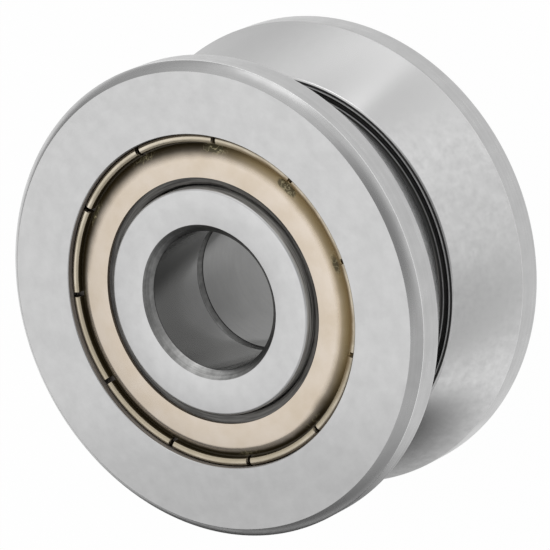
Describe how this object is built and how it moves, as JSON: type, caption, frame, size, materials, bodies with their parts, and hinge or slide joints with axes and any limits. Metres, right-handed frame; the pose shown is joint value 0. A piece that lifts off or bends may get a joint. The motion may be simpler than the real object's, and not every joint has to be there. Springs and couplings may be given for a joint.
{
  "type": "v-groove track roller bearing",
  "caption": "Shielded ball-bearing track roller with a V-grooved rim and a split inner ring, for running on a rail edge or wire on a through bolt.",
  "frame": {"origin": "the roller's centre, half-way between its two faces on its axis", "axes": "+Z along the axis, out of the front face, which is the one nearer the seam of the inner ring; +X and +Y lie in the mid-plane"},
  "size_m": [0.041, 0.041, 0.02],
  "materials": {
    "outer_ring_steel": "ground and brushed bearing steel",
    "inner_ring_steel": "ground bearing steel",
    "shield_plate": "pressed steel sheet, pale yellow plating",
    "cage_strip": "pressed steel strip",
    "rivet_steel": "headed steel wire",
    "ball_steel": "lapped chromium steel"
  },
  "bodies": {
    "outer": {"outer_ring": "outer_ring_steel", "shield_front": "shield_plate", "shield_rear": "shield_plate"},
    "inner_front": {"inner_ring_front": "inner_ring_steel"},
    "inner_rear": {"inner_ring_rear": "inner_ring_steel"},
    "cage_front": {"cage_front_outer": "cage_strip", "cage_front_inner": "cage_strip", "cage_rivets_front": "rivet_steel"},
    "ball_front_1": {"ball_front_1": "ball_steel"},
    "ball_front_2": {"ball_front_2": "ball_steel"},
    "ball_front_3": {"ball_front_3": "ball_steel"},
    "ball_front_4": {"ball_front_4": "ball_steel"},
    "ball_front_5": {"ball_front_5": "ball_steel"},
    "ball_front_6": {"ball_front_6": "ball_steel"},
    "ball_front_7": {"ball_front_7": "ball_steel"},
    "ball_front_8": {"ball_front_8": "ball_steel"},
    "cage_rear": {"cage_rear_outer": "cage_strip", "cage_rear_inner": "cage_strip", "cage_rivets_rear": "rivet_steel"},
    "ball_rear_1": {"ball_rear_1": "ball_steel"},
    "ball_rear_2": {"ball_rear_2": "ball_steel"},
    "ball_rear_3": {"ball_rear_3": "ball_steel"},
    "ball_rear_4": {"ball_rear_4": "ball_steel"},
    "ball_rear_5": {"ball_rear_5": "ball_steel"},
    "ball_rear_6": {"ball_rear_6": "ball_steel"},
    "ball_rear_7": {"ball_rear_7": "ball_steel"},
    "ball_rear_8": {"ball_rear_8": "ball_steel"}
  },
  "joints": [
    {"name": "inner_front_spin", "type": "hinge", "parent": "outer", "child": "inner_front", "pos_m": [0, 0, 0.0052], "axis": [0, 0, 1], "continuous": true},
    {"name": "inner_rear_spin", "type": "hinge", "parent": "outer", "child": "inner_rear", "pos_m": [0, 0, -0.0052], "axis": [0, 0, 1], "continuous": true},
    {"name": "cage_front_orbit", "type": "hinge", "parent": "outer", "child": "cage_front", "pos_m": [0, 0, 0.0052], "axis": [0, 0, 1], "continuous": true},
    {"name": "ball_front_1_roll", "type": "hinge", "parent": "cage_front", "child": "ball_front_1", "pos_m": [0.01155, 0, 0.0052], "axis": [0, 0, 1], "continuous": true},
    {"name": "ball_front_2_roll", "type": "hinge", "parent": "cage_front", "child": "ball_front_2", "pos_m": [0.00817, 0.00817, 0.0052], "axis": [0, 0, 1], "continuous": true},
    {"name": "ball_front_3_roll", "type": "hinge", "parent": "cage_front", "child": "ball_front_3", "pos_m": [0, 0.01155, 0.0052], "axis": [0, 0, 1], "continuous": true},
    {"name": "ball_front_4_roll", "type": "hinge", "parent": "cage_front", "child": "ball_front_4", "pos_m": [-0.00817, 0.00817, 0.0052], "axis": [0, 0, 1], "continuous": true},
    {"name": "ball_front_5_roll", "type": "hinge", "parent": "cage_front", "child": "ball_front_5", "pos_m": [-0.01155, 0, 0.0052], "axis": [0, 0, 1], "continuous": true},
    {"name": "ball_front_6_roll", "type": "hinge", "parent": "cage_front", "child": "ball_front_6", "pos_m": [-0.00817, -0.00817, 0.0052], "axis": [0, 0, 1], "continuous": true},
    {"name": "ball_front_7_roll", "type": "hinge", "parent": "cage_front", "child": "ball_front_7", "pos_m": [0, -0.01155, 0.0052], "axis": [0, 0, 1], "continuous": true},
    {"name": "ball_front_8_roll", "type": "hinge", "parent": "cage_front", "child": "ball_front_8", "pos_m": [0.00817, -0.00817, 0.0052], "axis": [0, 0, 1], "continuous": true},
    {"name": "cage_rear_orbit", "type": "hinge", "parent": "outer", "child": "cage_rear", "pos_m": [0, 0, -0.0052], "axis": [0, 0, 1], "continuous": true},
    {"name": "ball_rear_1_roll", "type": "hinge", "parent": "cage_rear", "child": "ball_rear_1", "pos_m": [0.01155, 0, -0.0052], "axis": [0, 0, 1], "continuous": true},
    {"name": "ball_rear_2_roll", "type": "hinge", "parent": "cage_rear", "child": "ball_rear_2", "pos_m": [0.00817, 0.00817, -0.0052], "axis": [0, 0, 1], "continuous": true},
    {"name": "ball_rear_3_roll", "type": "hinge", "parent": "cage_rear", "child": "ball_rear_3", "pos_m": [0, 0.01155, -0.0052], "axis": [0, 0, 1], "continuous": true},
    {"name": "ball_rear_4_roll", "type": "hinge", "parent": "cage_rear", "child": "ball_rear_4", "pos_m": [-0.00817, 0.00817, -0.0052], "axis": [0, 0, 1], "continuous": true},
    {"name": "ball_rear_5_roll", "type": "hinge", "parent": "cage_rear", "child": "ball_rear_5", "pos_m": [-0.01155, 0, -0.0052], "axis": [0, 0, 1], "continuous": true},
    {"name": "ball_rear_6_roll", "type": "hinge", "parent": "cage_rear", "child": "ball_rear_6", "pos_m": [-0.00817, -0.00817, -0.0052], "axis": [0, 0, 1], "continuous": true},
    {"name": "ball_rear_7_roll", "type": "hinge", "parent": "cage_rear", "child": "ball_rear_7", "pos_m": [0, -0.01155, -0.0052], "axis": [0, 0, 1], "continuous": true},
    {"name": "ball_rear_8_roll", "type": "hinge", "parent": "cage_rear", "child": "ball_rear_8", "pos_m": [0.00817, -0.00817, -0.0052], "axis": [0, 0, 1], "continuous": true}
  ],
  "couplings": [
    {"joint": "cage_front_orbit", "follows": "inner_front_spin", "ratio": 0.37974},
    {"joint": "ball_front_1_roll", "follows": "inner_front_spin", "ratio": -1.9586},
    {"joint": "ball_front_2_roll", "follows": "inner_front_spin", "ratio": -1.9586},
    {"joint": "ball_front_3_roll", "follows": "inner_front_spin", "ratio": -1.9586},
    {"joint": "ball_front_4_roll", "follows": "inner_front_spin", "ratio": -1.9586},
    {"joint": "ball_front_5_roll", "follows": "inner_front_spin", "ratio": -1.9586},
    {"joint": "ball_front_6_roll", "follows": "inner_front_spin", "ratio": -1.9586},
    {"joint": "ball_front_7_roll", "follows": "inner_front_spin", "ratio": -1.9586},
    {"joint": "ball_front_8_roll", "follows": "inner_front_spin", "ratio": -1.9586},
    {"joint": "cage_rear_orbit", "follows": "inner_rear_spin", "ratio": 0.37974},
    {"joint": "ball_rear_1_roll", "follows": "inner_rear_spin", "ratio": -1.9586},
    {"joint": "ball_rear_2_roll", "follows": "inner_rear_spin", "ratio": -1.9586},
    {"joint": "ball_rear_3_roll", "follows": "inner_rear_spin", "ratio": -1.9586},
    {"joint": "ball_rear_4_roll", "follows": "inner_rear_spin", "ratio": -1.9586},
    {"joint": "ball_rear_5_roll", "follows": "inner_rear_spin", "ratio": -1.9586},
    {"joint": "ball_rear_6_roll", "follows": "inner_rear_spin", "ratio": -1.9586},
    {"joint": "ball_rear_7_roll", "follows": "inner_rear_spin", "ratio": -1.9586},
    {"joint": "ball_rear_8_roll", "follows": "inner_rear_spin", "ratio": -1.9586}
  ]
}
